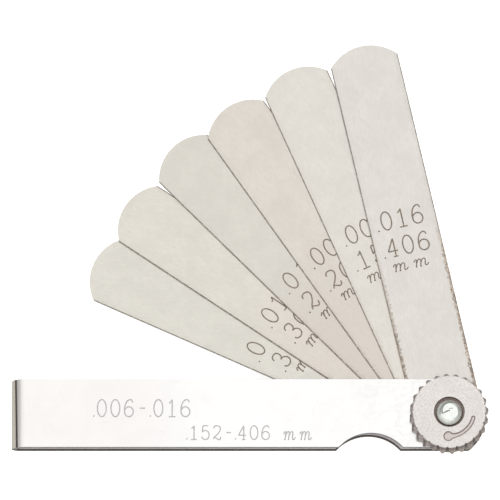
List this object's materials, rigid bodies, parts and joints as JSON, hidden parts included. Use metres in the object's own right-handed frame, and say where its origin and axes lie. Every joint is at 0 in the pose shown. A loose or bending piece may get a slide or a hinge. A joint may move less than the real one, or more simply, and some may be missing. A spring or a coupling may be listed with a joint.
{
  "type": "feeler gauge",
  "caption": "Pocket feeler gauge: thin steel blades on one pivot, fanned out of an open hairpin holder, with a round serrated lock nut.",
  "frame": {"origin": "centre of the pivot screw's head, on its back face, on the axis that every blade and the lock nut turn about", "axes": "+Z along the pivot axis, from the screw's head to the lock nut; the holder runs towards -X and the blades are fanned out towards +Y"},
  "size_m": [0.0882, 0.0774, 0.0092],
  "materials": {
    "holder_plate": "bright nickel plating over sheet steel, lightly handled",
    "blade_steel": "satin ground spring steel, slightly aged",
    "nut_plate": "dull plated steel, brown in the tooth grooves",
    "screw_plate": "bright zinc plated steel"
  },
  "bodies": {
    "case": {"holder": "holder_plate", "pivot_screw": "screw_plate"},
    "leaf_014": {"blade_014": "blade_steel"},
    "leaf_012": {"blade_012": "blade_steel"},
    "leaf_010": {"blade_010": "blade_steel"},
    "leaf_008": {"blade_008": "blade_steel"},
    "leaf_006": {"blade_006": "blade_steel"},
    "leaf_016": {"blade_016": "blade_steel"},
    "nut": {"lock_nut": "nut_plate"}
  },
  "joints": [
    {"name": "swing_014", "type": "hinge", "parent": "case", "child": "leaf_014", "pos_m": [0, 0, 0], "axis": [0, 0, 1], "range_deg": [-336.1, 23.9]},
    {"name": "swing_012", "type": "hinge", "parent": "case", "child": "leaf_012", "pos_m": [0, 0, 0], "axis": [0, 0, 1], "range_deg": [-326.2, 33.8]},
    {"name": "swing_010", "type": "hinge", "parent": "case", "child": "leaf_010", "pos_m": [0, 0, 0], "axis": [0, 0, 1], "range_deg": [-315.2, 44.8]},
    {"name": "swing_008", "type": "hinge", "parent": "case", "child": "leaf_008", "pos_m": [0, 0, 0], "axis": [0, 0, 1], "range_deg": [-305.1, 54.9]},
    {"name": "swing_006", "type": "hinge", "parent": "case", "child": "leaf_006", "pos_m": [0, 0, 0], "axis": [0, 0, 1], "range_deg": [-294.2, 65.8]},
    {"name": "swing_016", "type": "hinge", "parent": "case", "child": "leaf_016", "pos_m": [0, 0, 0], "axis": [0, 0, 1], "range_deg": [-283.1, 76.9]},
    {"name": "nut_turn", "type": "hinge", "parent": "case", "child": "nut", "pos_m": [0, 0, 0], "axis": [0, 0, 1], "range_deg": [0, 360]}
  ]
}
